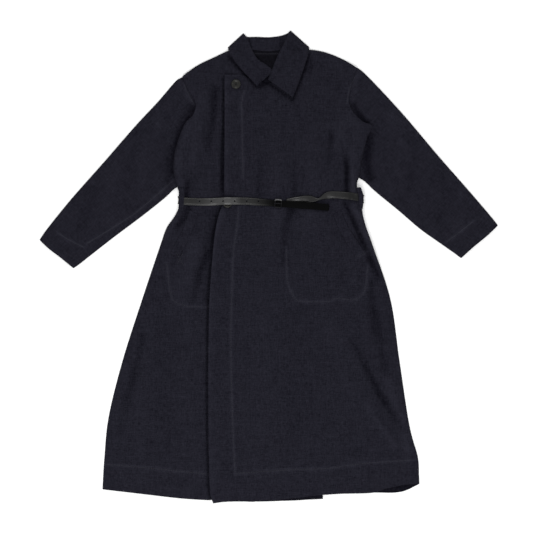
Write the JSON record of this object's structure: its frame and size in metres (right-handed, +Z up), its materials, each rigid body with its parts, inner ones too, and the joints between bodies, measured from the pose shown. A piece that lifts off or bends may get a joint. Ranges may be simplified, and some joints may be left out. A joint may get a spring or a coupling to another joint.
{
  "type": "belted coat",
  "caption": "Dark navy wool wrap coat laid out flat, front up, its left front lapped over, with a point collar, slant pockets and a narrow buckled leather belt.",
  "frame": {"origin": "middle of the laid-out coat, on the surface that it lies on", "axes": "+Z up from the surface, +Y from hem to collar, +X to the sleeve on the wearer's left"},
  "size_m": [1.145, 1.181, 0.0212],
  "materials": {
    "cloth": "dark navy wool with a fine two-tone weave, matt",
    "lining": "black-navy smooth lining",
    "leather": "black leather with a soft sheen",
    "metal": "dark polished metal",
    "horn": "grey-brown horn look, polished"
  },
  "bodies": {
    "root": {"back": "cloth", "front_left": "cloth", "front_right": "cloth", "sleeve_left_top": "cloth", "sleeve_left_under": "cloth", "sleeve_right_top": "cloth", "sleeve_right_under": "cloth", "collar": "cloth", "collar_stand": "cloth", "neck_facing": "lining", "pocket_bag_left": "lining", "pocket_bag_right": "lining", "pocket_welt_left": "cloth", "pocket_welt_right": "cloth", "belt": "leather", "belt_loop_left": "cloth", "belt_loop_right": "cloth", "buckle_frame": "metal", "buckle_prong": "metal", "button_top": "horn", "button_waist": "horn"}
  },
  "joints": []
}
